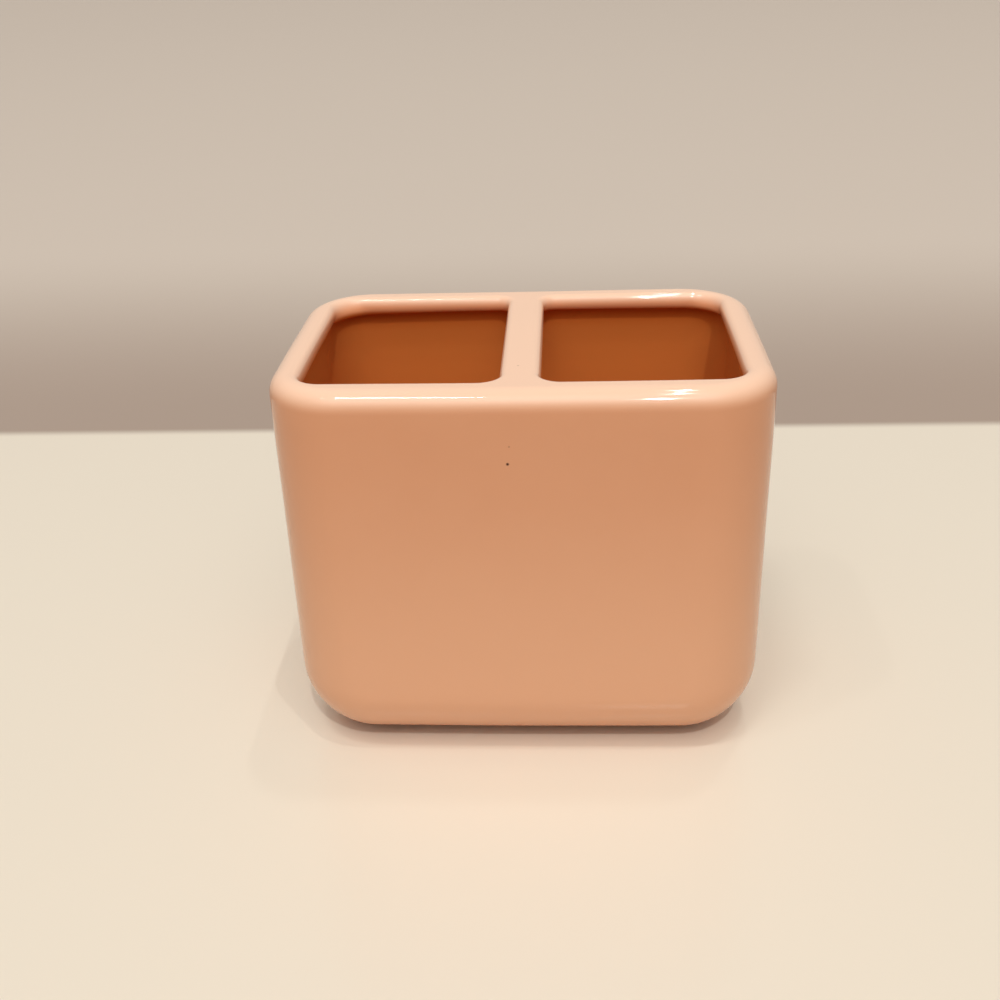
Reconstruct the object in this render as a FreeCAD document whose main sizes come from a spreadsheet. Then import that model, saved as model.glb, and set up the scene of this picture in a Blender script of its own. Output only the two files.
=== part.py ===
"""A two-opening ceramic toothbrush holder: a slip-cast body, its glaze coat and four stick-on foot pads.

Millimetres, +Z up. X runs along the width, Y from the front to the back. The origin is on the surface
that the holder stands on, under its middle.
"""
import FreeCAD
import Part
import Sketcher

import math
import os
from functools import partial

doc = FreeCAD.newDocument("toothbrush_holder")

# Driving dimensions

SIZES = {
    "body_width": 110.0,
    "body_depth": 72.6,
    "body_height": 91.9,
    "bottom_corner_radius": 18.4,
    "edge_radius": 16.2,
    "rim_radius": 4.5,
    "wall": 5.0,
    "floor_thickness": 5.5,
    "deck_thickness": 3.9,
    "overhang": 3.2,
    "side_overhang": 2.4,
    "bar_width": 9.0,
    "opening_corner_radius": 4.5,
    "lip_radius": 1.75,
    "lip_under_radius": 1.4,
    "cove_radius": 0.7,
    "glaze": 0.4,
    "bare_foot": 1.5,
    "pad_diameter": 10.0,
    "pad_thickness": 1.2,
    "pad_edge_radius": 0.3,
    "pad_inset": 1.5,
}

sheet = doc.addObject("Spreadsheet::Sheet", "sizes")
for row, (alias, value) in enumerate(SIZES.items(), start=1):
    sheet.set(f"A{row}", alias)
    sheet.set(f"B{row}", str(value))
    sheet.setAlias(f"B{row}", alias)
doc.recompute()

# A rounding takes at most this share of the wall that it rounds.
FILLET_SHARE = 0.9
# Two points closer than this lie on the same plane.
SAME_PLANE = 1e-4
# How a sketch numbers the ends of its lines and arcs, a circle's centre and its own two axes
START, END, CENTRE = range(1, 4)
ACROSS_AXIS, UP_AXIS = range(-1, -3, -1)

# Limits that keep each rounding inside the wall it belongs to
EDGE = f"min(sizes.edge_radius; {FILLET_SHARE} * sizes.bottom_corner_radius)"
RIM = f"min(sizes.rim_radius; {FILLET_SHARE} * sizes.wall)"
HALF_DECK = f"{FILLET_SHARE / 2} * sizes.deck_thickness"
OVERHANG = "min(sizes.overhang; sizes.side_overhang)"
LIP = f"min(sizes.lip_radius; {HALF_DECK}; {FILLET_SHARE} * {OVERHANG})"
# The lip's lower rounding and the cove share the deck's underside, two parts to one.
LIP_UNDER = f"min(sizes.lip_under_radius; {HALF_DECK}; {FILLET_SHARE * 2 / 3} * {OVERHANG})"
COVE = f"min(sizes.cove_radius; {FILLET_SHARE / 3} * {OVERHANG})"
CAVITY_CORNER = "max(sizes.bottom_corner_radius - sizes.wall; sizes.cove_radius)"
CAVITY_EDGE = f"min(max({EDGE} - sizes.wall; sizes.cove_radius); {FILLET_SHARE} * {CAVITY_CORNER})"

# Heights above the surface that the holder stands on
FOOT = "sizes.pad_thickness"
DECK = "(sizes.pad_thickness + sizes.body_height)"


def origin_plane(body, role):
    """The body's own origin plane of that role."""
    return next(feature for feature in body.Origin.OriginFeatures if feature.Role == role)


def new_sketch(body, name, role):
    """An empty sketch on one of the body's origin planes."""
    sketch = body.newObject("Sketcher::SketchObject", name)
    sketch.AttachmentSupport = [(origin_plane(body, role), "")]
    sketch.MapMode = "FlatFace"
    return sketch


def constrain(sketch, expression, *arguments):
    """A dimension of the sketch, bound to an expression of the sheet."""
    index = sketch.addConstraint(Sketcher.Constraint(*arguments))
    sketch.setExpression(f"Constraints[{index}]", expression)


def edge_names(feature, wanted):
    """Names of the feature's edges whose bounding box passes the test."""
    boxes = [edge.BoundBox for edge in feature.Shape.Edges]
    return [f"Edge{number}" for number, box in enumerate(boxes, start=1) if wanted(box)]


def add_fillet(body, name, wanted, radius):
    """Rounds the edges of the body's last feature that pass the test."""
    doc.recompute()
    last = body.Tip
    fillet = body.newObject("PartDesign::Fillet", name)
    fillet.Base = (last, edge_names(last, wanted))
    fillet.setExpression("Radius", radius)
    return fillet


def front_outline(sketch, width, base, top, corner):
    """A rectangle with round bottom corners, centred on the vertical axis."""
    # Start values near the solution; the constraints set the real sizes.
    side = SIZES["body_width"] / 2
    low = SIZES["pad_thickness"]
    high = SIZES["body_height"]
    radius = SIZES["bottom_corner_radius"]
    flat = side - radius
    upright = FreeCAD.Vector(0, 0, 1)
    right_circle = Part.Circle(FreeCAD.Vector(flat, low + radius, 0), upright, radius)
    left_circle = Part.Circle(FreeCAD.Vector(-flat, low + radius, 0), upright, radius)
    sketch.addGeometry(
        [
            Part.LineSegment(FreeCAD.Vector(-flat, low, 0), FreeCAD.Vector(flat, low, 0)),
            Part.ArcOfCircle(right_circle, -math.pi / 2, 0),
            Part.LineSegment(FreeCAD.Vector(side, low + radius, 0), FreeCAD.Vector(side, high, 0)),
            Part.LineSegment(FreeCAD.Vector(side, high, 0), FreeCAD.Vector(-side, high, 0)),
            Part.LineSegment(FreeCAD.Vector(-side, high, 0), FreeCAD.Vector(-side, low + radius, 0)),
            Part.ArcOfCircle(left_circle, math.pi, 3 * math.pi / 2),
        ]
    )
    bottom_line, right_arc, right_line, top_line, left_line, left_arc = range(6)
    for first, second in (
        (bottom_line, right_arc),
        (right_arc, right_line),
        (left_line, left_arc),
        (left_arc, bottom_line),
    ):
        sketch.addConstraint(Sketcher.Constraint("Tangent", first, END, second, START))
    sketch.addConstraint(Sketcher.Constraint("Coincident", right_line, END, top_line, START))
    sketch.addConstraint(Sketcher.Constraint("Coincident", top_line, END, left_line, START))
    sketch.addConstraint(Sketcher.Constraint("Vertical", right_line))
    sketch.addConstraint(Sketcher.Constraint("Vertical", left_line))
    sketch.addConstraint(Sketcher.Constraint("Horizontal", top_line))
    sketch.addConstraint(Sketcher.Constraint("Symmetric", bottom_line, START, bottom_line, END, UP_AXIS))
    sketch.addConstraint(Sketcher.Constraint("Equal", right_arc, left_arc))
    constrain(sketch, corner, "Radius", right_arc, radius)
    constrain(sketch, width, "DistanceX", top_line, END, top_line, START, 2 * side)
    constrain(sketch, base, "DistanceY", ACROSS_AXIS, START, bottom_line, START, low)
    constrain(sketch, top, "DistanceY", ACROSS_AXIS, START, top_line, START, high)


def rounded_block(name, width, depth, base, top, corner, edge, rim):
    """The front outline carried through the depth, with round front, back and top edges."""
    body = doc.addObject("PartDesign::Body", name)
    sketch = new_sketch(body, name + "_outline", "XZ_Plane")
    front_outline(sketch, width, base, top, corner)
    pad = body.newObject("PartDesign::Pad", name + "_block")
    pad.Profile = sketch
    pad.SideType = "Symmetric"
    pad.setExpression("Length", depth)
    doc.recompute()
    ceiling = pad.Shape.BoundBox.ZMax - SAME_PLANE
    add_fillet(
        body,
        name + "_edges",
        lambda box: box.YLength < SAME_PLANE and box.ZMin < ceiling,
        edge,
    )
    add_fillet(body, name + "_rim", lambda box: box.ZMin > ceiling, rim)
    return body


def opening_outline(sketch, width, depth, inner_side, corner):
    """A rectangle with four round corners, beside the sketch's upright axis and centred on the other one."""
    # Start values near the solution; the constraints set the real sizes.
    inner = SIZES["bar_width"] / 2
    outer = SIZES["body_width"] / 2 - SIZES["wall"] - SIZES["side_overhang"]
    half = SIZES["body_depth"] / 2 - SIZES["wall"] - SIZES["overhang"]
    radius = SIZES["opening_corner_radius"]
    low, high = radius - half, half - radius
    near, far = inner + radius, outer - radius
    centres = ((far, low), (far, high), (near, high), (near, low))
    arcs = []
    for turn, (x, y) in enumerate(centres):
        circle = Part.Circle(FreeCAD.Vector(x, y, 0), FreeCAD.Vector(0, 0, 1), radius)
        arcs.append(Part.ArcOfCircle(circle, (turn - 1) * math.pi / 2, turn * math.pi / 2))
    # Sides and corners in turn, counter-clockwise from the front side
    for turn, arc in enumerate(arcs):
        sketch.addGeometry([Part.LineSegment(arcs[turn - 1].EndPoint, arc.StartPoint), arc])
    front_line, first_arc, right_line, _, back_line, _, left_line, _ = range(8)
    for number in range(8):
        sketch.addConstraint(Sketcher.Constraint("Tangent", number, END, (number + 1) % 8, START))
    for number in range(first_arc + 2, 8, 2):
        sketch.addConstraint(Sketcher.Constraint("Equal", first_arc, number))
    sketch.addConstraint(Sketcher.Constraint("Horizontal", front_line))
    sketch.addConstraint(Sketcher.Constraint("Horizontal", back_line))
    sketch.addConstraint(Sketcher.Constraint("Vertical", left_line))
    sketch.addConstraint(Sketcher.Constraint("Symmetric", right_line, START, right_line, END, ACROSS_AXIS))
    constrain(sketch, corner, "Radius", first_arc, radius)
    constrain(sketch, width, "DistanceX", left_line, START, right_line, START, outer - inner)
    constrain(sketch, depth, "DistanceY", front_line, START, back_line, START, 2 * half)
    constrain(sketch, inner_side, "DistanceX", ACROSS_AXIS, START, left_line, START, inner)


def cast_form(name, coat):
    """The hollow holder with its two openings, its surface one coat under the finished one."""
    outside = rounded_block(
        name,
        width=f"sizes.body_width - 2 * {coat}",
        depth=f"sizes.body_depth - 2 * {coat}",
        base=f"{FOOT} - sizes.glaze + {coat}",
        top=f"{DECK} - {coat}",
        corner=f"sizes.bottom_corner_radius - {coat}",
        edge=f"{EDGE} - {coat}",
        rim=f"{RIM} - {coat}",
    )
    cavity = rounded_block(
        name + "_cavity",
        width=f"sizes.body_width - 2 * (sizes.wall - {coat})",
        depth=f"sizes.body_depth - 2 * (sizes.wall - {coat})",
        base=f"{FOOT} + sizes.floor_thickness - {coat}",
        top=f"{DECK} - sizes.deck_thickness + {coat}",
        corner=f"{CAVITY_CORNER} + {coat}",
        edge=f"{CAVITY_EDGE} + {coat}",
        rim=f"{COVE} + {coat}",
    )
    hollow = outside.newObject("PartDesign::Boolean", name + "_hollow")
    hollow.Type = "Cut"
    hollow.setObjects([cavity])
    doc.recompute()

    # One opening through the deck, then its mirror image on the other side of the bar
    sketch = new_sketch(outside, name + "_opening_outline", "XY_Plane")
    sketch.setExpression("AttachmentOffset.Base.z", f"{DECK} - {coat}")
    opening_outline(
        sketch,
        width=f"(sizes.body_width - sizes.bar_width) / 2 - sizes.wall - sizes.side_overhang + 2 * {coat}",
        depth=f"sizes.body_depth - 2 * (sizes.wall + sizes.overhang - {coat})",
        inner_side=f"sizes.bar_width / 2 - {coat}",
        corner=f"sizes.opening_corner_radius + {coat}",
    )
    opening = outside.newObject("PartDesign::Pocket", name + "_opening")
    opening.Profile = sketch
    opening.setExpression("Length", "sizes.deck_thickness + sizes.lip_under_radius")
    doc.recompute()
    openings = outside.newObject("PartDesign::Mirrored", name + "_openings")
    openings.Originals = [opening]
    openings.MirrorPlane = (origin_plane(outside, "YZ_Plane"), [""])
    outside.Tip = openings
    doc.recompute()

    # Round the openings' upper and lower edges into a soft lip
    deck_height = openings.Shape.BoundBox.ZMax
    under_height = cavity.Shape.BoundBox.ZMax
    reach = sketch.Shape.BoundBox

    def around_opening(box, height):
        """Whether an edge lies at that height on the outline of one of the openings."""
        flat = abs(box.ZMin - height) < SAME_PLANE and box.ZLength < SAME_PLANE
        across = max(abs(box.XMin), abs(box.XMax)) < reach.XMax + SAME_PLANE
        along = max(abs(box.YMin), abs(box.YMax)) < reach.YMax + SAME_PLANE
        return flat and across and along

    for lip_name, height, radius in (("_lip", deck_height, LIP), ("_lip_under", under_height, LIP_UNDER)):
        add_fillet(outside, name + lip_name, partial(around_opening, height=height), f"{radius} - {coat}")
    doc.recompute()
    return outside


def cast_body():
    """The fired clay, one casting: walls, floor, deck and the bar between the openings."""
    return cast_form("cast_body", coat="sizes.glaze")


def glaze_coat(clay):
    """The glass layer over all of the clay but its foot."""
    finished = cast_form("finished_form", coat="0")
    foot_band = doc.addObject("Part::Box", "foot_band")
    foot_band.setExpression("Length", "sizes.body_width")
    foot_band.setExpression("Width", "sizes.body_depth")
    foot_band.setExpression("Height", f"{FOOT} + sizes.bare_foot")
    foot_band.setExpression("Placement.Base.x", "-sizes.body_width / 2")
    foot_band.setExpression("Placement.Base.y", "-sizes.body_depth / 2")
    above_foot = doc.addObject("Part::Cut", "above_foot")
    above_foot.Base = finished
    above_foot.Tool = foot_band
    coat = doc.addObject("Part::Cut", "glaze_coat")
    coat.Base = above_foot
    coat.Tool = clay
    return coat


def foot_pad(name, side_x, side_y):
    """A round self-adhesive pad near one corner of the flat base, its lower edge rounded."""
    body = doc.addObject("PartDesign::Body", name)
    sketch = new_sketch(body, name + "_outline", "XY_Plane")
    start_radius = SIZES["pad_diameter"] / 2
    circle = sketch.addGeometry(Part.Circle(FreeCAD.Vector(0, 0, 0), FreeCAD.Vector(0, 0, 1), start_radius))
    sketch.addConstraint(Sketcher.Constraint("Coincident", circle, CENTRE, ACROSS_AXIS, START))
    constrain(sketch, "sizes.pad_diameter", "Diameter", circle, 2 * start_radius)
    disc = body.newObject("PartDesign::Pad", name + "_disc")
    disc.Profile = sketch
    disc.setExpression("Length", "sizes.pad_thickness")
    add_fillet(
        body,
        name + "_edge",
        lambda box: box.ZMax < SAME_PLANE,
        f"min(sizes.pad_edge_radius; {FILLET_SHARE} * sizes.pad_thickness)",
    )
    from_edge = "sizes.pad_diameter / 2 - sizes.pad_inset"
    flat_x = "sizes.body_width / 2 - sizes.bottom_corner_radius"
    flat_y = f"sizes.body_depth / 2 - {EDGE}"
    body.setExpression("Placement.Base.x", f"{side_x} * ({flat_x} - {from_edge})")
    body.setExpression("Placement.Base.y", f"{side_y} * ({flat_y} - {from_edge})")
    return body


clay_node = cast_body()
nodes = [clay_node, glaze_coat(clay_node)]
for side_y, row_name in ((-1, "front"), (1, "back")):
    for side_x, column_name in ((-1, "left"), (1, "right")):
        nodes.append(foot_pad(f"foot_pad_{row_name}_{column_name}", side_x, side_y))
doc.recompute()

# Every feature has to be sound before anything is written.
for feature in doc.Objects:
    if {"Invalid", "Error"} & set(feature.State):
        raise RuntimeError(f"{feature.Label} failed: {feature.State}")
for node in nodes:
    if node.Shape.isNull() or not node.Shape.isValid() or len(node.Shape.Solids) != 1:
        raise RuntimeError(f"{node.Label} is not one sound solid")

os.makedirs("parts", exist_ok=True)
for node in nodes:
    node.Shape.exportStep(f"parts/{node.Label}.step")
    box = node.Shape.BoundBox
    print(f"{node.Label}: {node.Shape.Volume:.1f} mm3, z {box.ZMin:.2f} to {box.ZMax:.2f}")
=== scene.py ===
# %% [markdown]
# # A glazed toothbrush holder
# The real object is one slip-cast earthenware box: four walls, a floor, and a flat deck with two
# openings and a bar between them. A peach glaze covers it inside and out, down to a bare foot, and
# four stick-on pads keep that foot off the surface below.
#
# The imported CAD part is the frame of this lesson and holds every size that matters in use. It could
# be shown as it is, but a glossy glaze mirrors its surroundings, and a mirror shows every flat
# facet of a CAD mesh. So each skin is made again here, finer, at the sizes and in the place that
# the frame gives.

import math

import bmesh
import bpy
import numpy as np
from mathutils import Matrix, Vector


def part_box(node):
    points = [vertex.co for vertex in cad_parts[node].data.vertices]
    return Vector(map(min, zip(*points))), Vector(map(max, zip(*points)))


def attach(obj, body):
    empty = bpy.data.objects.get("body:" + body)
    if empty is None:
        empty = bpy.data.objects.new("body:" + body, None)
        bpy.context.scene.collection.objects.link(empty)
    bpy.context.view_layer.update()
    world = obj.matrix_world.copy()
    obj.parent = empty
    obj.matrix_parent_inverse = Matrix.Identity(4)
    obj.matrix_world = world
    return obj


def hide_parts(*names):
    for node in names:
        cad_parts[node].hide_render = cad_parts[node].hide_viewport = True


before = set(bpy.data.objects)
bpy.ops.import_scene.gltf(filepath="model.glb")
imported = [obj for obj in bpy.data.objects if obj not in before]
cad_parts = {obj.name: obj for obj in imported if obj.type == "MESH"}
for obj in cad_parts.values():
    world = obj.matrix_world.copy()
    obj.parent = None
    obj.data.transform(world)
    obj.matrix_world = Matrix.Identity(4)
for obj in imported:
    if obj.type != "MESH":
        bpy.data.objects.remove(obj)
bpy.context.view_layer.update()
scene = bpy.context.scene
scene.view_settings.view_transform = "Standard"
print("nodes:", ", ".join(sorted(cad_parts)))

# %% [markdown]
# ## The camera
# The picture was taken from a quarter of a metre away, looking down at the deck and the front. The
# camera could be set by eye. Here its place, turn and lens come from a least-squares fit of the
# holder's edges to the picture, so that shapes can be compared point by point.

# %% Camera
MM = 0.001
CAMERA_PLACE = np.array((9.51, -258.2, 184.1)) * MM
CAMERA_PITCH = math.radians(27.36)
CAMERA_YAW = math.radians(-3.58)
CAMERA_ROLL = math.radians(-2.05)
CAMERA_SENSOR = 36.0
CAMERA_LENS = 42.48

camera_data = bpy.data.cameras.new("camera")
camera_data.sensor_width = CAMERA_SENSOR
camera_data.lens = CAMERA_LENS
camera = bpy.data.objects.new("camera", camera_data)
scene.collection.objects.link(camera)
camera.matrix_world = (
    Matrix.Translation(CAMERA_PLACE)
    @ Matrix.Rotation(-CAMERA_YAW, 4, "Z")
    @ Matrix.Rotation(math.pi / 2 - CAMERA_PITCH, 4, "X")
    @ Matrix.Rotation(CAMERA_ROLL, 4, "Z")
)
scene.camera = camera
print(f"camera {np.linalg.norm(CAMERA_PLACE) / MM:.0f} mm from the origin, lens {CAMERA_LENS} mm")

# %% [markdown]
# ## Two helpers for every finish
# Colours are easiest to read as sRGB hex values, but shaders work in linear light, so one function
# turns the first into the second. Node trees are easiest to read when a node is one call, so the
# other function adds a node of any kind, sets it and links it.

# %% Colour and node helpers
def linear(hex_colour):
    """Turns an sRGB hex colour into linear red, green, blue and alpha, by the sRGB curve."""
    srgb = np.array([int(hex_colour[place:place + 2], 16) for place in (1, 3, 5)]) / 255
    rgb = np.where(srgb <= 0.04045, srgb / 12.92, ((srgb + 0.055) / 1.055) ** 2.4)
    return (*rgb.tolist(), 1.0)


def add_node(tree, kind, settings=None, links=None):
    """Adds a node.

    Settings give its properties and the values of its inputs, links feed inputs from other outputs.
    """
    node = tree.nodes.new(kind)
    for key, value in (settings or {}).items():
        if isinstance(key, int) or key in node.inputs:
            node.inputs[key].default_value = value
        else:
            setattr(node, key, value)
    for key, output in (links or {}).items():
        tree.links.new(output, node.inputs[key])
    return node


def new_material(name):
    """A material with an empty node tree."""
    material = bpy.data.materials.new(name)
    material.use_nodes = True
    material.node_tree.nodes.clear()
    return material, material.node_tree


print("half-bright grey in linear light:", round(linear("#808080")[0], 3))

# %% [markdown]
# ## From points to a piece
# Every surface below is a grid of points. A mesh needs those points as a list, and four corner
# numbers for each little quad. Seams, poles and mirrored halves give points that coincide, so the
# last step merges them, which closes the skin, and counts the edges that are still open.

# %% Grid helpers
MERGE_DISTANCE = 0.002 * MM


def grid_quads(rows, columns):
    """Corner numbers of a grid's quads.

    A point, the one in the next row, the one diagonally on and the one in the next column.
    """
    first = (np.arange(rows - 1)[:, None] * columns + np.arange(columns - 1)).ravel()
    return np.stack([first, first + columns, first + columns + 1, first + 1], axis=1)


def make_piece(name, sheets, material):
    """One smooth object from sheets. A sheet is a grid and whether its faces are turned over."""
    starts = np.cumsum([0] + [grid.shape[0] * grid.shape[1] for grid, _ in sheets])
    quads = [grid_quads(*grid.shape[:2])[:, ::-1 if turned else 1] for grid, turned in sheets]
    points = np.concatenate([grid.reshape(-1, 3) for grid, _ in sheets])
    corners = np.concatenate([quad + start for quad, start in zip(quads, starts)])
    mesh = bpy.data.meshes.new(name)
    mesh.from_pydata(points.tolist(), [], corners.tolist())
    form = bmesh.new()
    form.from_mesh(mesh)
    bmesh.ops.remove_doubles(form, verts=form.verts, dist=MERGE_DISTANCE)
    open_edges = sum(len(edge.link_faces) != 2 for edge in form.edges)
    form.to_mesh(mesh)
    form.free()
    mesh.polygons.foreach_set("use_smooth", np.ones(len(mesh.polygons), dtype=bool))
    mesh.materials.append(material)
    piece = bpy.data.objects.new(name, mesh)
    scene.collection.objects.link(piece)
    triangles = sum(len(face.vertices) - 2 for face in mesh.polygons)
    print(f"{name}: {triangles} triangles, {open_edges} open edges")
    return piece


# %% [markdown]
# ## The floor
# The holder stands on a pale, lacquered floor. A bent sweep would hide the horizon, but the glossy
# deck would mirror its dim upright part. A wide flat floor does as well, because the surround
# behind its far edge has nearly the same colour. The paint is cream round the holder. Behind it is
# painted shade of a dim upright wall: a narrow darker line, then a quieter beige, so that the pale
# rim stands out.

# %% Floor
FLOOR_REACH = 6000 * MM
FLOOR_PAINT = "#EBDFCC"
# Painted shade of an upright wall: where each fade starts and ends behind the holder in
# millimetres, and the paint that it ends in
PAINTED_WALL_SHADE = ((153, 160, "#A69283"), (175, 430, "#D3C4B5"))


def lacquered_floor():
    """Satin lacquer on board: pale, with painted wall shade behind, softly mirroring what stands on
    it.
    """
    material, tree = new_material("satin_lacquer_on_board")
    place = add_node(tree, "ShaderNodeTexCoord").outputs["Object"]
    depth = add_node(tree, "ShaderNodeSeparateXYZ", links={"Vector": place}).outputs["Y"]
    paint = None
    # Each fade mixes painted shade of an upright wall into the cream
    for start, end, colour in PAINTED_WALL_SHADE:
        fade = add_node(
            tree,
            "ShaderNodeMapRange",
            {"interpolation_type": "SMOOTHSTEP", "From Min": start * MM, "From Max": end * MM},
            {"Value": depth},
        )
        mix = add_node(
            tree,
            "ShaderNodeMix",
            {"data_type": "RGBA", 6: linear(FLOOR_PAINT), 7: linear(colour)},
            {0: fade.outputs[0], **({6: paint} if paint else {})},
        )
        paint = mix.outputs[2]
    shader = add_node(
        tree, "ShaderNodeBsdfPrincipled", {"Roughness": 0.24, "IOR": 1.5}, {"Base Color": paint}
    )
    add_node(tree, "ShaderNodeOutputMaterial", links={"Surface": shader.outputs[0]})
    return material


floor_ends = np.array([-FLOOR_REACH, FLOOR_REACH])
floor_x, floor_y = np.meshgrid(floor_ends, floor_ends, indexing="ij")
floor_grid = np.stack([floor_x, floor_y, np.zeros((2, 2))], axis=-1)
floor_piece = make_piece("floor", [(floor_grid, False)], lacquered_floor())

# %% [markdown]
# ## The light
# The holder is lit from above and a little from the front: the deck is much brighter than the
# front, which gets a good part of its light back from the floor. A dome that is brightest round one
# direction gives that. Eyes and mirrors see a pale surround instead of the dome's dim lower part. A
# few small lamps draw the crisp edge of the shadow.

# %% Dome
DOME_FILL = 0.22
DOME_KEY = 3.05
DOME_FOCUS = 12.0
# The brightest direction leans to the front
DOME_LEAN = math.radians(32)
LIGHT_COLOUR = "#FFFEFB"
SURROUND_COLOUR = "#D6C8BA"


def studio_dome():
    """Light by a power of the cosine of the angle from one direction, and an even fill.

    Camera and mirror rays get the surround in place of the fill.
    """
    world = bpy.data.worlds.new("studio_dome")
    world.use_nodes = True
    dome = world.node_tree
    dome.nodes.clear()
    direction = add_node(dome, "ShaderNodeTexCoord").outputs["Generated"]
    axis = (0, -math.sin(DOME_LEAN), math.cos(DOME_LEAN))
    cosine = add_node(
        dome, "ShaderNodeVectorMath", {"operation": "DOT_PRODUCT", 1: axis}, {0: direction}
    )
    level = cosine.outputs["Value"]
    for operation, value in (("MAXIMUM", 0.0), ("POWER", DOME_FOCUS), ("MULTIPLY", DOME_KEY)):
        step = add_node(dome, "ShaderNodeMath", {"operation": operation, 1: value}, {0: level})
        level = step.outputs[0]
    light, pale = linear(LIGHT_COLOUR), linear(SURROUND_COLOUR)
    key = add_node(dome, "ShaderNodeBackground", {"Color": light}, {"Strength": level})
    fill_light = add_node(dome, "ShaderNodeBackground", {"Color": light, "Strength": DOME_FILL})
    surround = add_node(dome, "ShaderNodeBackground", {"Color": pale, "Strength": 1.0})
    rays = add_node(dome, "ShaderNodeLightPath").outputs
    seen = add_node(
        dome,
        "ShaderNodeMath",
        {"operation": "MAXIMUM"},
        {0: rays["Is Camera Ray"], 1: rays["Is Glossy Ray"]},
    )
    around = add_node(
        dome,
        "ShaderNodeMixShader",
        links={0: seen.outputs[0], 1: fill_light.outputs[0], 2: surround.outputs[0]},
    )
    sky = add_node(dome, "ShaderNodeAddShader", links={0: key.outputs[0], 1: around.outputs[0]})
    add_node(dome, "ShaderNodeOutputWorld", links={"Surface": sky.outputs[0]})
    return world


scene.world = studio_dome()
print(f"dome leans {math.degrees(DOME_LEAN):.0f} degrees, key {DOME_KEY}, fill {DOME_FILL}")

# %% [markdown]
# ## The lamps
# The places of the lamps come from the white strips on the glaze: a strip lies where the rounded
# edge mirrors the lamp towards the eye. One large soft box would be simpler, but it would draw one
# broad patch. Small lamps far away draw thin strips and short dashes, and the shadow gets a crisp
# edge.

# %% Lamps
LAMP_HEIGHT = 2400 * MM
# At this light a white floor renders as white
FULL_LIGHT = math.pi
# Each lamp: its middle to the right and to the back of the holder, its length and its width in
# millimetres, and the share of the full light that it gives under the holder
LAMPS = {
    "long_strip": (-376, -625, 374, 120, 0.10),
    "short_strip": (-1000, -660, 24, 120, 0.03),
    "spot_front": (297, -1740, 20, 60, 0.16),
    "spot_middle": (278, -434, 20, 30, 0.08),
    "spot_back": (276, 380, 34, 110, 0.05),
}


def hang_lamp(name, right, back, length, width, share):
    """A rectangular lamp that shines straight down.

    Light falls off with the square of the distance and with the slant at the lamp and at the floor,
    so the power is the wanted light times pi times the fourth power of the distance over the square
    of the height.
    """
    lamp = bpy.data.lights.new(name, "AREA")
    lamp.shape = "RECTANGLE"
    lamp.size, lamp.size_y = length * MM, width * MM
    place = np.array((right * MM, back * MM, LAMP_HEIGHT))
    distance = np.linalg.norm(place)
    lamp.energy = share * FULL_LIGHT * math.pi * distance ** 4 / LAMP_HEIGHT ** 2
    fitting = bpy.data.objects.new(name, lamp)
    fitting.location = place
    scene.collection.objects.link(fitting)
    return lamp.energy


lamp_power = sum(hang_lamp(name, *sizes) for name, sizes in LAMPS.items())
print(f"{len(LAMPS)} lamps, {lamp_power:.2f} W in all")

# %% [markdown]
# ## Sizes of the casting
# What the frame knows is read from it: the outside, the thickness of the glaze and where it stops.
# The radii and walls repeat the CAD part's own. The openings' corners are not all alike on the real
# piece: they are tight beside the bar, and in the far corners slip has pooled under the deck, so
# the lip is rounder there at its lower edge.

# %% Sizes
glaze_low, glaze_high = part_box("glaze_coat")
clay_low, clay_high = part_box("cast_body")
HALF_WIDTH, HALF_DEPTH, TOP = glaze_high
GLAZE = glaze_high.z - clay_high.z
GLAZE_LINE = glaze_low.z
# The base as it would lie if the glaze went on under the foot
BASE = clay_low.z - GLAZE

BOTTOM_CORNER = 18.4 * MM
EDGE = 16.2 * MM
RIM = 4.5 * MM
WALL = 5.0 * MM
FLOOR_THICKNESS = 5.5 * MM
FLOOR = clay_low.z + FLOOR_THICKNESS
DECK = 3.9 * MM
OVERHANG = 3.2 * MM
SIDE_OVERHANG = 2.4 * MM
BAR = 9.0 * MM
LIP = 1.9 * MM
LIP_UNDER = 1.5 * MM
COVE = 0.7 * MM
# Corner radii of an opening: front corner by the bar, far front, far back, back corner by the bar
OPENING_CORNERS = np.array((4.6, 5.3, 5.5, 2.6)) * MM
# How much rounder the lip's lower edge is in these corners, and how far it hangs in the far ones
POOLED_LEFT = (np.array((0, 1.8, 3.0, 0)) * MM, 0.8 * MM)
POOLED_RIGHT = (np.array((0, 1.8, 2.5, 0)) * MM, 0.4 * MM)
NOT_POOLED = (np.zeros(4), 0.0)
print(f"outside {2 * HALF_WIDTH / MM:.1f} x {2 * HALF_DEPTH / MM:.1f} mm, glaze {GLAZE / MM:.2f} mm")

# %% [markdown]
# ## Loops seen from above
# The wall, the cavity and the openings are all rectangles with round corners. Such a loop could be
# drawn as lines and arcs. It is shorter to say that a point circles at a radius round a centre, and
# that along the loop either the centre slides while the angle stands still, or the angle turns
# while the centre stands still.

# %% Loops
# Steps along the half loop's stretches: by the bar, front, corner, side, corner, back, by the bar
HALF_LOOP_STEPS = (6, 26, 16, 24, 16, 26, 6)
# Steps along the rest of an opening's loop: a half corner, the bar's side and a half corner
BAR_STEPS = (6, 34, 6)
# How far from the middle plane the half loop's first stretch ends
BAR_END = 9.0 * MM


def along(steps, start=0):
    """Even steps through each stretch: a stretch ends where the parameter is a whole number."""
    stretches = [
        number + np.linspace(0, 1, count, endpoint=False) for number, count in enumerate(steps)
    ]
    return start + np.concatenate([*stretches, [len(steps)]])


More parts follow.
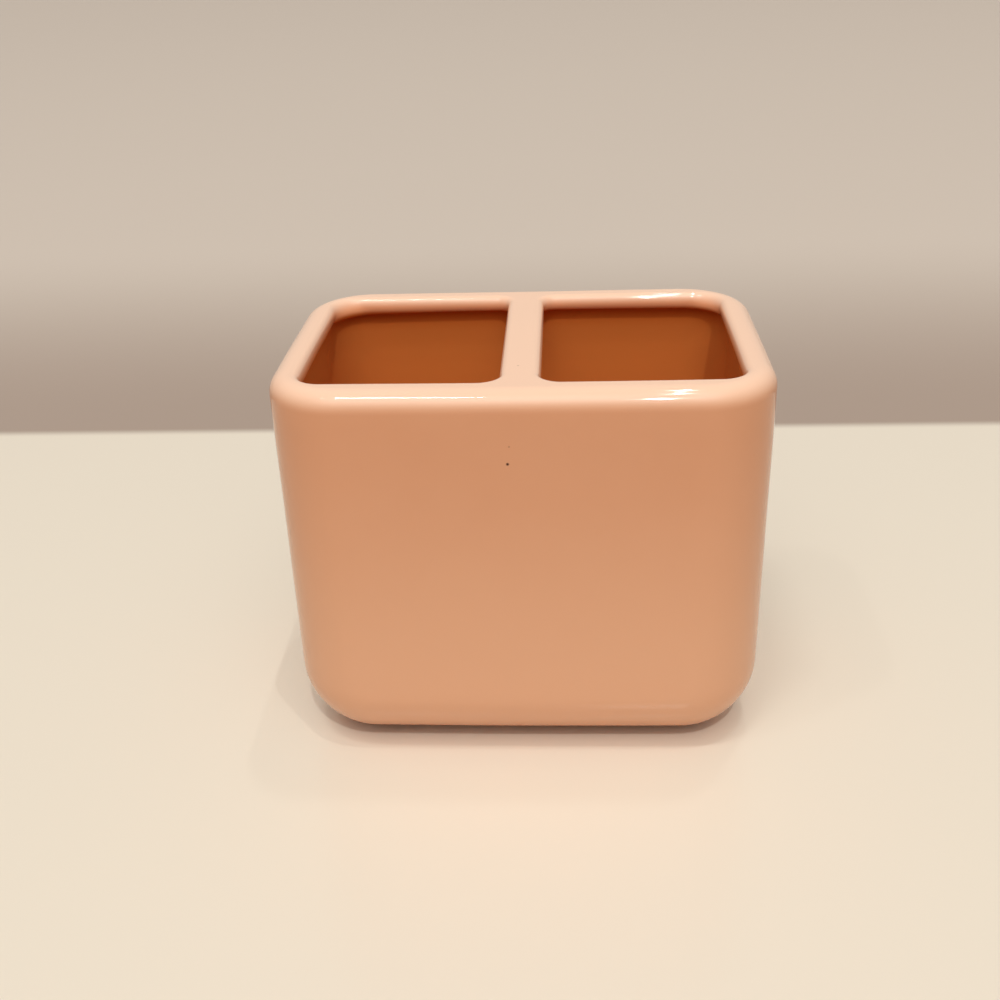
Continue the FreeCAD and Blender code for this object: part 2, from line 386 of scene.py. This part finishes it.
def slide_and_turn(u, centre_x, centre_y, angle, radius):
    """Points and outward directions of a loop: centre plus radius times the direction of the angle.

    Centre, angle and radius are given at whole numbers of u and change evenly in between.
    """
    keys = np.arange(len(angle))
    heading = np.radians(np.interp(u, keys, angle))
    outward = np.stack([np.cos(heading), np.sin(heading)], axis=-1)
    centre = np.stack([np.interp(u, keys, centre_x), np.interp(u, keys, centre_y)], axis=-1)
    return centre + np.interp(u, keys, radius)[:, None] * outward, outward


def wall_loop(u, half_width, half_depth, radius):
    """Half a rounded rectangle, from the middle of the front by the right to that of the back."""
    x, y = half_width - radius, half_depth - radius
    centre_x = (0, BAR_END, x, x, x, x, BAR_END, 0)
    centre_y = (-y, -y, -y, -y, y, y, y, y)
    angle = (-90, -90, -90, 0, 0, 90, 90, 90)
    return slide_and_turn(u, centre_x, centre_y, angle, np.full(len(angle), radius))


def opening_loop(u, coat, rounder):
    """The right opening's outline on the same stretches, then along the bar to where it began."""
    left, right = BAR / 2 - coat, HALF_WIDTH - WALL - SIDE_OVERHANG + coat
    back = HALF_DEPTH - WALL - OVERHANG + coat
    corner = np.repeat(OPENING_CORNERS + rounder + coat, (2, 2, 2, 3))
    radius = np.append(corner, corner[[0, 0]])
    side_x = np.array((1, 1, -1, -1, -1, -1, 1, 1, 1, 1, 1))
    side_y = np.array((1, 1, 1, 1, -1, -1, -1, -1, -1, 1, 1))
    centre_x = np.where(side_x > 0, left, right) + side_x * radius
    centre_y = np.where(side_y > 0, -back, back) + side_y * radius
    angle = (-135, -90, -90, 0, 0, 90, 90, 135, 180, 180, 225)
    return slide_and_turn(u, centre_x, centre_y, angle, radius)


HALF = along(HALF_LOOP_STEPS)
BESIDE_BAR = along(BAR_STEPS, start=len(HALF_LOOP_STEPS))
print(f"half loop in {len(HALF)} points, bar side in {len(BESIDE_BAR)}")

# %% [markdown]
# ## The soft foot
# Under the walls the box is rounded in two directions at once: its bottom corners as seen from the
# front, and all its front and back edges. Fillets of two radii could be blended by hand. A distance
# function does it in one line: it says how far a point lies outside the block, and the surface is
# where it is zero. Halving an interval again and again finds that place for every point of a grid
# together.

# %% Distance to the rounded block
HALVINGS = 40


def round_max(first, second, radius):
    """The larger of two distances, but with the corner where they meet rounded to a radius."""
    reach = np.hypot(np.maximum(first + radius, 0), np.maximum(second + radius, 0))
    return np.minimum(np.maximum(first, second) + radius, 0) + reach - radius


def block_distance(points, half_width, half_depth, base, corner, edge):
    """Distance outside a block with two radii.

    One rounds the bottom corners of its front view, the other its front and back edges.
    """
    x, y, z = np.moveaxis(points, -1, 0)
    front_view = round_max(np.abs(x) - half_width, base - z, corner)
    return round_max(front_view, np.abs(y) - half_depth, edge)


def settle(loop, heights, distance):
    """For each loop point and height, the place on a level ray where the distance is zero.

    The rays start on the line along the width that lies as far from both ends as from the long
    sides.
    """
    middle_end = HALF_WIDTH - HALF_DEPTH
    spine = np.stack([np.minimum(loop[:, 0], middle_end), np.zeros(len(loop))], axis=-1)
    shape = (len(loop), len(heights))
    level = np.broadcast_to(heights, shape)[..., None]
    start = np.concatenate([np.broadcast_to(spine[:, None], (*shape, 2)), level], axis=-1)
    away = np.broadcast_to((loop - spine)[:, None], (*shape, 2))
    ray = np.concatenate([away, 0 * level], axis=-1)
    inside, outside = np.zeros(shape), np.ones(shape)
    for _ in range(HALVINGS):
        middle = (inside + outside) / 2
        is_inside = distance(start + middle[..., None] * ray) < 0
        inside = np.where(is_inside, middle, inside)
        outside = np.where(is_inside, outside, middle)
    return start + inside[..., None] * ray


def outside_distance(points, coat):
    """Distance outside the holder's body, one coat under its finished surface."""
    return block_distance(
        points,
        HALF_WIDTH - coat,
        HALF_DEPTH - coat,
        BASE + coat,
        BOTTOM_CORNER - coat,
        EDGE - coat,
    )


def cavity_distance(points, coat):
    """Distance outside the hollow, which one coat makes larger."""
    return block_distance(
        points,
        HALF_WIDTH - WALL + coat,
        HALF_DEPTH - WALL + coat,
        FLOOR - coat,
        BOTTOM_CORNER - WALL + coat,
        EDGE - WALL + coat,
    )


# %% [markdown]
# ## Rows of the profile
# Seen in section, the skin is a chain of straight runs and quarter turns: up the wall, over the
# rim, across the deck, over the lip and down through the opening, back under the deck, round the
# cove and down to the floor. Each link is a block of rows, made by carrying a short profile along a
# loop or by filling the space between two curves.

# %% Rows
WALL_STEPS = 14
TURN_STEPS = 12
DECK_STEPS = 6
NOSE_STEPS = 24
UNDER_STEPS = 4
FOOT_STEPS = 20
FLOOR_STEPS = 10
# How far the hanging lip reaches to both sides of a corner, in stretches of the half loop
SAG_REACH = 0.9
# Places of the far front and the far back corner along the half loop
FAR_CORNERS = (2.5, 4.5)
# How far the handles of the lip's nose reach past the opening's outline, as a share of the lip
NOSE_REACH = 1 / 3


def quarter(steps):
    """One minus the cosine and one minus the sine along a quarter turn, without its first angle."""
    turn = np.linspace(0, math.pi / 2, steps + 1)[1:]
    return 1 - np.cos(turn), 1 - np.sin(turn)


def carry(loop, outward, out, height):
    """A profile of outward distances and heights, carried along a loop."""
    level = loop[:, None] + np.asarray(out)[None, :, None] * outward[:, None]
    heights = np.broadcast_to(height, level.shape[:2])
    return np.concatenate([level, heights[..., None]], axis=-1)


def fill(first, second, steps):
    """Rows that step evenly from one curve to another, without the first."""
    share = np.linspace(0, 1, steps + 1)[1:]
    return first[:, None] + share[None, :, None] * (second - first)[:, None]


def lip_rows(u, deck_edge, ceiling_edge, coat, pooled):
    """From a curve on the deck over the lip's round nose and back under the deck to another curve.

    The nose is a cubic Bezier curve. Its ends lie on the deck and under it, and its handles reach a
    third further than the opening's outline, so that a curve that is round to the eye touches it.
    """
    rounder, hang = pooled
    upper, upper_out = opening_loop(u, coat, np.zeros(4))
    lower, lower_out = opening_loop(u, coat, rounder)
    sag = hang * sum(np.exp(-(((u - corner) / SAG_REACH) ** 2)) for corner in FAR_CORNERS)
    top_ends = carry(upper, upper_out, np.array((1, -NOSE_REACH)) * (LIP - coat), TOP - coat)
    under_height = (TOP - DECK + coat - sag)[:, None]
    under_out = np.array((-NOSE_REACH, 1)) * (LIP_UNDER - coat)
    under_ends = carry(lower, lower_out, under_out, under_height)
    share = np.linspace(0, 1, NOSE_STEPS + 1)[None, 1:, None]
    first, second = top_ends[:, :1], top_ends[:, 1:]
    third, fourth = under_ends[:, :1], under_ends[:, 1:]
    nose = (1 - share) ** 3 * first + 3 * share * (1 - share) ** 2 * second
    nose = nose + 3 * share ** 2 * (1 - share) * third + share ** 3 * fourth
    return [
        fill(deck_edge, first[:, 0], DECK_STEPS),
        nose,
        fill(nose[:, -1], ceiling_edge, UNDER_STEPS),
    ]


# %% [markdown]
# ## A worn mould
# A plaster mould wears, and clay moves as it dries, so no face of a casting is quite flat. The
# front bows out between the corners, the openings bow with it, and long shallow waves cross all
# faces. A noise modifier could shake the mesh, but it would tear the seams. A smooth function of
# the place moves points that coincide by the same amount.

# %% Warp
SIDE_BOW = 0.1 * MM
FRONT_BOW = 0.6 * MM
WAVE = 0.10 * MM
# How suddenly the bow fades out before the flat back face
BOW_FADE = 8
# Wave length in millimetres, heading in degrees and phase in degrees
WAVES = ((41, 20, 10), (27, 75, 130), (33, 140, 250))


def waviness(first, second):
    """A few sine waves of two coordinates, added up and scaled to lie between 0 and 1."""
    total = 0
    for length, heading, phase in WAVES:
        turn = math.radians(heading)
        path = first * math.cos(turn) + second * math.sin(turn)
        total = total + np.sin(2 * math.pi * path / (length * MM) + math.radians(phase))
    return (1 + total / len(WAVES)) / 2


def warp(points):
    """Faces move inwards, by the square of the distance from their middle and by the waves.

    The front's bow goes on through the openings and fades out with a high power of the depth.
    """
    x, y, z = np.moveaxis(points, -1, 0)
    across, along_depth, up = x / HALF_WIDTH, y / HALF_DEPTH, z / TOP
    new_x = x - across * (SIDE_BOW * along_depth ** 2 + WAVE * waviness(y, z))
    bow = FRONT_BOW * across ** 2 * (1 - np.maximum(along_depth, 0) ** BOW_FADE)
    new_y = y + bow - along_depth * WAVE * waviness(x, z)
    new_z = z - up * WAVE * waviness(x, y)
    return np.stack([new_x, new_y, new_z], axis=-1)


print(f"front bows by {FRONT_BOW / MM} mm, sides by {SIDE_BOW / MM}, waves reach {WAVE / MM}")

# %% [markdown]
# ## Skins of the holder
# The clay and the glaze are the same form at two depths: the clay lies one coat under the finished
# surface. So one function makes the sheets of a skin for any depth. A half is carried from the
# middle of the front to the middle of the back, the side of the bar closes the opening, and both
# are mirrored for the other half.

# %% Sheets of a skin
def middle_line(loop, height):
    """The line along the width that a floor's or a base's rows shrink to, at a height."""
    x = np.minimum(loop[:, 0], HALF_WIDTH - HALF_DEPTH)
    return np.stack([x, np.zeros(len(loop)), np.full(len(loop), height)], axis=-1)


def half_sheets(coat, pooled, foot):
    """The right half above a given foot: the wall and what follows it, and the side of the bar."""
    wall, wall_out = wall_loop(HALF, HALF_WIDTH - coat, HALF_DEPTH - coat, EDGE - coat)
    hollow, hollow_out = wall_loop(
        HALF, HALF_WIDTH - WALL + coat, HALF_DEPTH - WALL + coat, EDGE - WALL + coat
    )
    deck, ceiling, floor = TOP - coat, TOP - DECK + coat, FLOOR - coat
    rim, cove, low_corner = RIM - coat, COVE + coat, BOTTOM_CORNER - WALL + coat
    fall, rest = quarter(TURN_STEPS)
    climb = np.linspace(BASE + BOTTOM_CORNER, deck - rim, WALL_STEPS + 1)
    descent = np.linspace(ceiling - cove, floor + low_corner, WALL_STEPS + 1)[1:]
    down = np.linspace(1, 0, FOOT_STEPS + 1)[1:-1] * math.pi / 2

    rows = [foot, carry(wall, wall_out, np.zeros(WALL_STEPS + 1), climb)]
    rows.append(carry(wall, wall_out, -rim * fall, deck - rim * rest))
    ceiling_edge = carry(hollow, hollow_out, [-cove], ceiling)[:, 0]
    rows += lip_rows(HALF, rows[-1][:, -1], ceiling_edge, coat, pooled)
    rows.append(carry(hollow, hollow_out, -cove * rest, ceiling - cove * fall))
    rows.append(carry(hollow, hollow_out, np.zeros(WALL_STEPS), descent))
    basin_heights = floor + low_corner * (1 - np.cos(down))
    basin = settle(hollow, basin_heights, lambda p: cavity_distance(p, coat))
    rows += [basin, fill(basin[:, -1], middle_line(hollow, floor), FLOOR_STEPS)]

    bar_back, bar_front = HALF_DEPTH - WALL - OVERHANG, WALL + OVERHANG - HALF_DEPTH
    bar_keys = np.arange(4) + len(HALF_LOOP_STEPS)
    deck_end, ceiling_end = HALF_DEPTH - RIM, HALF_DEPTH - WALL - COVE
    deck_y = np.interp(BESIDE_BAR, bar_keys, (deck_end, bar_back, bar_front, -deck_end))
    ceiling_y = np.interp(BESIDE_BAR, bar_keys, (ceiling_end, bar_back, bar_front, -ceiling_end))
    nothing = np.zeros_like(deck_y)
    deck_line = np.stack([nothing, deck_y, nothing + deck], axis=-1)
    ceiling_line = np.stack([nothing, ceiling_y, nothing + ceiling], axis=-1)
    bar = [deck_line[:, None], *lip_rows(BESIDE_BAR, deck_line, ceiling_line, coat, NOT_POOLED)]
    return np.concatenate(rows, axis=1), np.concatenate(bar, axis=1)


def whole_skin(coat, foot, turned=False):
    """Both halves, warped. The left one is mirrored, so its faces are turned over."""
    sheets = []
    for mirror, pooled in ((1, POOLED_RIGHT), (-1, POOLED_LEFT)):
        for grid in half_sheets(coat, pooled, foot):
            sheets.append((warp(grid * (mirror, 1, 1)), (mirror < 0) != turned))
    return sheets


# %% [markdown]
# ## The glaze
# A glaze is a layer of coloured glass, fired onto the clay. Here it is opaque, glossy and peach, a
# little uneven in colour where it flowed, with a few pinholes where gas broke through and the dark
# body shows. The layer could be a bare surface, but a real coat has a thickness and a rolled edge
# above the foot, so it is a closed shell.

# %% Glaze finish
# Places of the pinholes and their radius in millimetres, and how dark they are
PINHOLES = (
    (-2.54, -36.3, 77.4, 0.42, 1.0),
    (-2.12, -36.3, 81.4, 0.28, 0.35),
    (-11.8, -36.0, 90.9, 0.34, 0.6),
    (-42.8, -36.0, 40.4, 0.30, 0.4),
    (-0.48, -19.9, 93.1, 0.30, 0.3),
)
# Share of a pinhole's radius that is fully dark
PINHOLE_CORE = 0.5
# Width of the flow marks
FLOW_WIDTH = 16.0 * MM
# Heights between which the walls get lighter downwards: painted light bounced back from the floor
BOUNCE_LIGHT_TOP = 88.0 * MM
BOUNCE_LIGHT_FOOT = 20.0 * MM
# Ripples of the molten glass
RIPPLE_WIDTH = 5.0 * MM
RIPPLE_HEIGHT = 0.003 * MM


def glossy_peach_glaze():
    """Opaque earthenware glaze, fired after pouring: glossy, rippled, uneven in tone, pinholed."""
    material, tree = new_material("glossy_peach_glaze")
    place = add_node(tree, "ShaderNodeTexCoord").outputs["Object"]
    flow = add_node(
        tree, "ShaderNodeTexNoise", {"Scale": 1 / FLOW_WIDTH, "Detail": 2.0}, {"Vector": place}
    )
    tone = add_node(
        tree,
        "ShaderNodeMix",
        {"data_type": "RGBA", 6: linear("#D59771"), 7: linear("#D1916A")},
        {0: flow.outputs[0]},
    )
    # Painted light bounced from the floor: the coat is a little lighter further down the walls.
    height = add_node(tree, "ShaderNodeSeparateXYZ", links={"Vector": place}).outputs["Z"]
    low = add_node(
        tree,
        "ShaderNodeMapRange",
        {"interpolation_type": "SMOOTHSTEP", "From Min": BOUNCE_LIGHT_TOP, "From Max": BOUNCE_LIGHT_FOOT},
        {"Value": height},
    )
    painted_bounce_light = add_node(
        tree,
        "ShaderNodeMix",
        {"data_type": "RGBA", 7: linear("#DEA580")},
        {0: low.outputs[0], 6: tone.outputs[2]},
    )
    colour = painted_bounce_light.outputs[2]
    # Painted light on the inner faces and lit top; painted shade in the hollow, under the lip, at the
    # foot
    depths = {
        "painted_inner_light": "#F8AA7A",
        "painted_top_light": "#FACFB1",
        "painted_hollow_and_foot_shade": "#D57A39",
        "painted_under_lip_shade": "#D46E2A",
    }
    for depth, hex_colour in depths.items():
        share = add_node(tree, "ShaderNodeAttribute", {"attribute_name": depth})
        deeper = add_node(
            tree,
            "ShaderNodeMix",
            {"data_type": "RGBA", 7: linear(hex_colour)},
            {0: share.outputs["Fac"], 6: colour},
        )
        colour = deeper.outputs[2]
    for x, y, z, radius, darkness in PINHOLES:
        gap = add_node(
            tree,
            "ShaderNodeVectorMath",
            {"operation": "DISTANCE", 1: (x * MM, y * MM, z * MM)},
            {0: place},
        )
        hole = add_node(
            tree,
            "ShaderNodeMapRange",
            {
                "From Min": PINHOLE_CORE * radius * MM,
                "From Max": radius * MM,
                "To Min": darkness,
                "To Max": 0.0,
            },
            {"Value": gap.outputs["Value"]},
        )
        pierced = add_node(
            tree,
            "ShaderNodeMix",
            {"data_type": "RGBA", 7: linear("#4A2413")},
            {0: hole.outputs[0], 6: colour},
        )
        colour = pierced.outputs[2]
    ripple = add_node(
        tree, "ShaderNodeTexNoise", {"Scale": 1 / RIPPLE_WIDTH, "Detail": 1.0}, {"Vector": place}
    )
    bump = add_node(
        tree, "ShaderNodeBump", {"Distance": RIPPLE_HEIGHT}, {"Height": ripple.outputs[0]}
    )
    shader = add_node(
        tree,
        "ShaderNodeBsdfPrincipled",
        {"Roughness": 0.045, "IOR": 1.44},
        {"Base Color": colour, "Normal": bump.outputs[0]},
    )
    add_node(tree, "ShaderNodeOutputMaterial", links={"Surface": shader.outputs[0]})
    return material


# %% [markdown]
# ## Where light and shade are painted into the glaze
# The glaze is painted paler on the deck, over the rim and on the lip's crest: painted light of the
# lit top. Its inner faces get a brighter orange: painted light on the lips. Lower in the hollow the
# orange is deeper, and deepest right under the lip: painted shade of the hollow. Above the foot it
# is deeper too: painted shade of the foot that turns under. A gradient by height alone could not
# tell the inside from the outside, so each point of the coat carries four numbers of its own,
# worked out from its place, and the finish reads them.

# %% Painted light and shade in the glaze
# How far down the painted top light reaches outside and over the lip
TOP_LIGHT_REACH = 4.5 * MM
LIP_TOP_LIGHT_REACH = 2.8 * MM
# Where the painted shade of the hollow starts under the deck, and how soon it is full
HOLLOW_SHADE_START = 2.9 * MM
HOLLOW_SHADE_REACH = 1.7 * MM
# How far under the lip its painted shade fades, and where the painted inner light starts under
# the outer skin
LIP_SHADE_REACH = 7.0 * MM
SKIN_DEPTH = 1.0 * MM
# How high the painted shade reaches above the foot, and how strong it is
FOOT_SHADE_HEIGHT = 9.0 * MM
FOOT_SHADE_SHARE = 0.9


def smooth_step(value):
    """Nought below nought, one above one, and three squares less two cubes in between."""
    share = np.clip(value, 0, 1)
    return share ** 2 * (3 - 2 * share)


def mark_painted_light(piece):
    """Four painted marks, each worked out from the point's place.

    Painted inner light rises with the depth under the outer skin. Painted top light falls with the
    depth under the deck. Painted hollow and foot shade rises with the depth under the deck where it
    is inner, and near the foot. Painted under-lip shade is the hollow's share, fading with the depth
    under the lip.
    """
    mesh = piece.data
    points = np.empty(3 * len(mesh.vertices))
    mesh.vertices.foreach_get("co", points)
    points = points.reshape(-1, 3)
    under_deck, under_skin = TOP - points[:, 2], -outside_distance(points, 0.0)
    inside = smooth_step((under_skin - SKIN_DEPTH) / (WALL - SKIN_DEPTH))
    past_lip = smooth_step((under_deck - DECK) / LIP_SHADE_REACH)
    painted_hollow_shade = inside * smooth_step((under_deck - HOLLOW_SHADE_START) / HOLLOW_SHADE_REACH)
    painted_foot_shade = FOOT_SHADE_SHARE * smooth_step((BASE + FOOT_SHADE_HEIGHT - points[:, 2]) / FOOT_SHADE_HEIGHT)
    top_light_reach = TOP_LIGHT_REACH + inside * (LIP_TOP_LIGHT_REACH - TOP_LIGHT_REACH)
    # Painted light on the inner faces and lit top; painted shade in the hollow, under the lip, at the
    # foot
    marks = {
        "painted_inner_light": inside,
        "painted_top_light": 1 - smooth_step(under_deck / top_light_reach),
        "painted_hollow_and_foot_shade": np.maximum(painted_hollow_shade, painted_foot_shade),
        "painted_under_lip_shade": painted_hollow_shade * (1 - past_lip),
    }
    for name, values in marks.items():
        mesh.attributes.new(name, "FLOAT", "POINT").data.foreach_set("value", values)
        print(f"{name}: mean {values.mean():.2f}")


# %% [markdown]
# ## The coat
# The coat ends a little above the base in a rolled edge, where it was wiped off before the firing.
# The shell could be made by a solidify modifier, but its edge would be cut off square. Here the
# outer skin and the skin one coat further in are two sheets that meet in a quarter turn.

# %% Glaze coat
GLAZE_ROLL = 0.6 * MM


def foot_heights(lowest):
    """Heights from a lowest one to the top of the bottom corners, closer together further down."""
    first = math.acos(1 - (lowest - BASE) / BOTTOM_CORNER)
    return BASE + BOTTOM_CORNER * (1 - np.cos(np.linspace(first, math.pi / 2, FOOT_STEPS)[:-1]))


outline, _ = wall_loop(HALF, HALF_WIDTH, HALF_DEPTH, EDGE)
roll_fall, roll_rest = quarter(TURN_STEPS // 2)
roll_depth = np.concatenate([[GLAZE], GLAZE * roll_rest])
roll_height = np.concatenate([[GLAZE_LINE], GLAZE_LINE + GLAZE_ROLL * roll_fall])
shell_heights = foot_heights(GLAZE_LINE + GLAZE_ROLL)[1:]
glaze_depths = np.concatenate([roll_depth, np.zeros(len(shell_heights))])
glaze_heights = np.concatenate([roll_height, shell_heights])
outer_foot = settle(outline, glaze_heights, lambda p: outside_distance(p, glaze_depths))
inner_heights = np.concatenate([[GLAZE_LINE], shell_heights])
inner_foot = settle(outline, inner_heights, lambda p: outside_distance(p, GLAZE))
glaze_skin = whole_skin(0.0, outer_foot) + whole_skin(GLAZE, inner_foot, turned=True)
glaze_piece = make_piece("peach_glaze", glaze_skin, glossy_peach_glaze())
mark_painted_light(glaze_piece)
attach(glaze_piece, "root")
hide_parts("glaze_coat")

# %% [markdown]
# ## The clay
# Under the glaze lies biscuit-fired earthenware. It shows only at the foot, which was wiped clean
# of glaze so that it would not stick to the kiln shelf. The CAD clay could stay, but the casting
# was warped, so the clay gets the same warp one coat further in, and a flat base.

# %% Clay body
GRIT = 0.7 * MM
GRIT_HEIGHT = 0.05 * MM
# The lowest ring of the foot lies this far above the base
BASE_CLEARANCE = 0.001 * MM


def biscuit_earthenware():
    """Fired, unglazed earthenware: warm brown, matt and dry, with a fine grit and darker grains."""
    material, tree = new_material("biscuit_fired_earthenware")
    place = add_node(tree, "ShaderNodeTexCoord").outputs["Object"]
    grit = add_node(
        tree, "ShaderNodeTexNoise", {"Scale": 1 / GRIT, "Detail": 4.0}, {"Vector": place}
    )
    clay = add_node(
        tree,
        "ShaderNodeMix",
        {"data_type": "RGBA", 6: linear("#C4845A"), 7: linear("#A86B42")},
        {0: grit.outputs[0]},
    )
    bump = add_node(tree, "ShaderNodeBump", {"Distance": GRIT_HEIGHT}, {"Height": grit.outputs[0]})
    shader = add_node(
        tree,
        "ShaderNodeBsdfPrincipled",
        {"Roughness": 0.9, "IOR": 1.45},
        {"Base Color": clay.outputs[2], "Normal": bump.outputs[0]},
    )
    add_node(tree, "ShaderNodeOutputMaterial", links={"Surface": shader.outputs[0]})
    return material


clay_base = BASE + GLAZE
clay_heights = foot_heights(clay_base + BASE_CLEARANCE)
clay_edge = settle(outline, clay_heights, lambda p: outside_distance(p, GLAZE))
base_middle = middle_line(outline, clay_base)
clay_base_rows = fill(base_middle, clay_edge[:, 0], FLOOR_STEPS)
clay_foot = np.concatenate([base_middle[:, None], clay_base_rows, clay_edge[:, 1:]], axis=1)
clay_piece = make_piece("biscuit_body", whole_skin(GLAZE, clay_foot), biscuit_earthenware())
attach(clay_piece, "root")
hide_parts("cast_body")

# %% [markdown]
# ## The foot pads
# Self-adhesive pads are cut from a soft sheet or moulded. A moulded one has a straight side, a
# rounded lower edge and a face that is a little domed. A cylinder would show a hard edge, so a
# profile is turned round an upright axis.

# %% Foot pads
PAD_EDGE = 0.3 * MM
PAD_DOME = 0.08 * MM
PAD_TURNS = 64
PAD_FACE_STEPS = 10
PAD_GRAIN = 0.4 * MM
PAD_GRAIN_HEIGHT = 0.01 * MM


def moulded_elastomer():
    """Soft moulded polyurethane: pale grey, half matt, with the faint grain of its mould."""
    material, tree = new_material("moulded_polyurethane_pad")
    place = add_node(tree, "ShaderNodeTexCoord").outputs["Object"]
    grain = add_node(
        tree, "ShaderNodeTexNoise", {"Scale": 1 / PAD_GRAIN, "Detail": 2.0}, {"Vector": place}
    )
    tone = add_node(
        tree,
        "ShaderNodeMix",
        {"data_type": "RGBA", 6: linear("#DEDDD8"), 7: linear("#D2D0CA")},
        {0: grain.outputs[0]},
    )
    bump = add_node(
        tree, "ShaderNodeBump", {"Distance": PAD_GRAIN_HEIGHT}, {"Height": grain.outputs[0]}
    )
    shader = add_node(
        tree,
        "ShaderNodeBsdfPrincipled",
        {"Roughness": 0.5, "IOR": 1.5},
        {"Base Color": tone.outputs[2], "Normal": bump.outputs[0]},
    )
    add_node(tree, "ShaderNodeOutputMaterial", links={"Surface": shader.outputs[0]})
    return material


def pad_grid(low, high):
    """A profile from the middle of the face to the middle of the top, turned round its axis."""
    radius, thickness = (high.x - low.x) / 2, high.z - low.z
    share = np.linspace(0, 1, PAD_FACE_STEPS)
    fall, rest = quarter(TURN_STEPS // 2)
    flat = radius - PAD_EDGE
    profile_radius = np.concatenate([share * flat, flat + PAD_EDGE * (1 - rest), [radius, 0]])
    face = PAD_DOME * share ** 2
    profile_height = np.concatenate([face, PAD_DOME + PAD_EDGE * fall, [thickness, thickness]])
    turn = np.linspace(0, 2 * math.pi, PAD_TURNS + 1)
    x = (low.x + high.x) / 2 + np.cos(turn)[:, None] * profile_radius
    y = (low.y + high.y) / 2 + np.sin(turn)[:, None] * profile_radius
    return np.stack([x, y, np.broadcast_to(low.z + profile_height, x.shape)], axis=-1)


elastomer = moulded_elastomer()
for node in sorted(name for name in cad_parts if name.startswith("foot_pad")):
    pad_sheet = (pad_grid(*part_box(node)), False)
    pad = make_piece(node.replace("foot_pad", "pad"), [pad_sheet], elastomer)
    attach(pad, "root")
    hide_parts(node)
